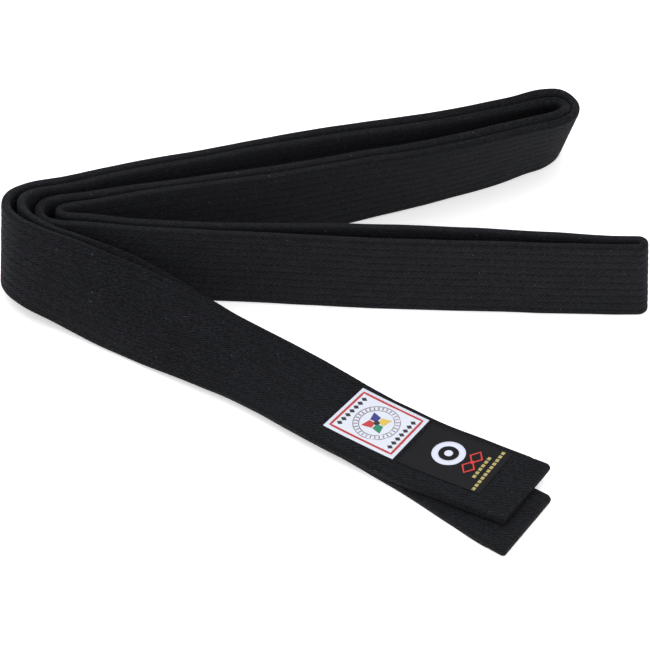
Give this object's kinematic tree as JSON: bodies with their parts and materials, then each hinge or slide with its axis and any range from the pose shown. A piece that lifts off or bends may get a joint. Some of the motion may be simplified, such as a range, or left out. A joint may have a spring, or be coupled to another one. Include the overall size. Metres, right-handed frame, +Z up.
{
  "type": "martial arts belt",
  "caption": "Quilted cotton strap folded double and laid in a zigzag on its edge, ending flat with two labels on the upper tail, worn tied round a martial arts jacket.",
  "frame": {"origin": "centre of the footprint on the surface that the belt lies on", "axes": "+X to the right, away from the folded end and towards the tails' side; +Y to the back, away from the flat tails; +Z up"},
  "size_m": [0.3138, 0.2942, 0.0527],
  "materials": {
    "twill": "matte black cotton twill",
    "padding": "matte unbleached canvas",
    "thread": "matte black spun thread",
    "black_satin": "smooth woven satin",
    "white_weave": "fine damask weave"
  },
  "bodies": {
    "root": {"cover": "twill", "core": "padding", "needle_thread_row_1": "thread", "bobbin_thread_row_1": "thread", "needle_thread_row_2": "thread", "bobbin_thread_row_2": "thread", "needle_thread_row_3": "thread", "bobbin_thread_row_3": "thread", "needle_thread_row_4": "thread", "bobbin_thread_row_4": "thread", "needle_thread_row_5": "thread", "bobbin_thread_row_5": "thread", "needle_thread_row_6": "thread", "bobbin_thread_row_6": "thread", "needle_thread_row_7": "thread", "bobbin_thread_row_7": "thread", "needle_thread_row_8": "thread", "bobbin_thread_row_8": "thread", "needle_thread_row_9": "thread", "bobbin_thread_row_9": "thread", "upper_tail_hem_thread": "thread", "lower_tail_hem_thread": "thread", "satin_label": "black_satin", "satin_label_stitch": "thread", "woven_badge": "white_weave", "woven_badge_stitch": "white_weave"}
  },
  "joints": []
}
